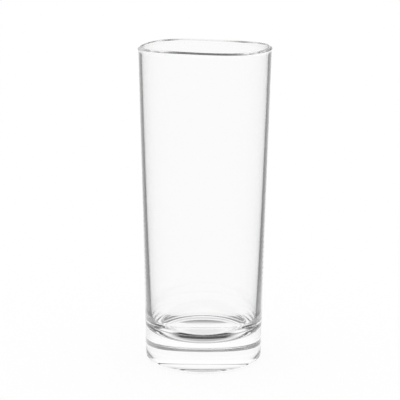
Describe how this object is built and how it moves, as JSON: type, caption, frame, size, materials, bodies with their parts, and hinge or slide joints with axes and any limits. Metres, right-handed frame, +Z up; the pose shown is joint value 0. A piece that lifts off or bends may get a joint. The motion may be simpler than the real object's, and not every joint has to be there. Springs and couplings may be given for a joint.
{
  "type": "tall tumbler",
  "caption": "Tall, slightly tapered drinking tumbler in clear glass, with a fire-polished round lip and a bowl-shaped inside over a thick solid base that stands flat.",
  "frame": {"origin": "centre of the resting ring, on the plane that the tumbler stands on", "axes": "+Z up along the tumbler's axis of revolution, X and Y any two horizontal directions"},
  "size_m": [0.062, 0.062, 0.15],
  "materials": {
    "clear_glass": "smooth, clear, fire-polished soda-lime glass"
  },
  "bodies": {
    "root": {"tumbler_body": "clear_glass"}
  },
  "joints": []
}
